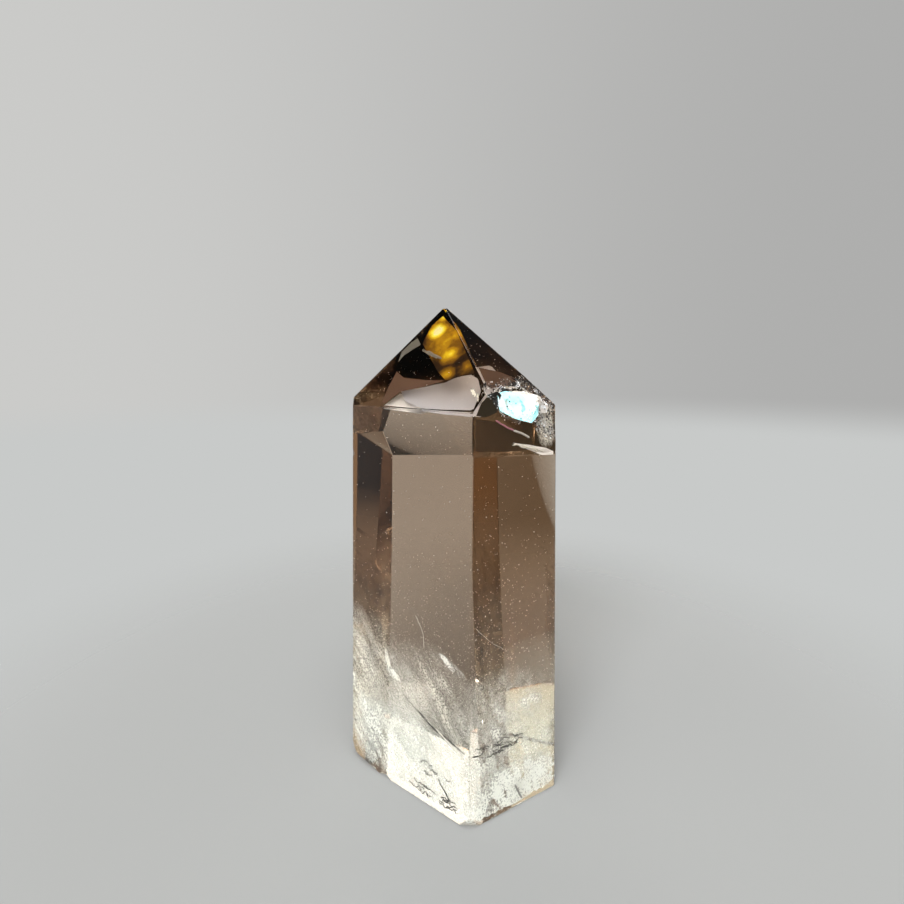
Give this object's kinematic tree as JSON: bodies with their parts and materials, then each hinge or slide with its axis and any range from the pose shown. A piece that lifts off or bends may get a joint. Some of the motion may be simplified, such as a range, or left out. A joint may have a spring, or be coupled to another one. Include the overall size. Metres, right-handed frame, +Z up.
{
  "type": "smoky quartz point",
  "caption": "Polished six-sided smoky quartz crystal with a pointed tip, a bruised shoulder and a flat sawn base on which it stands upright.",
  "frame": {"origin": "middle of the bounding box's bottom, on the plane of the sawn base", "axes": "+Z up, from the base to the tip; -Y towards the upright edge between the two front faces; +X to the right of someone who looks along +Y"},
  "size_m": [0.0264, 0.0274, 0.0562],
  "materials": {
    "smoky_quartz": "polished natural smoky quartz, see-through, darker towards the tip"
  },
  "bodies": {
    "root": {"smoky_quartz_point": "smoky_quartz"}
  },
  "joints": []
}
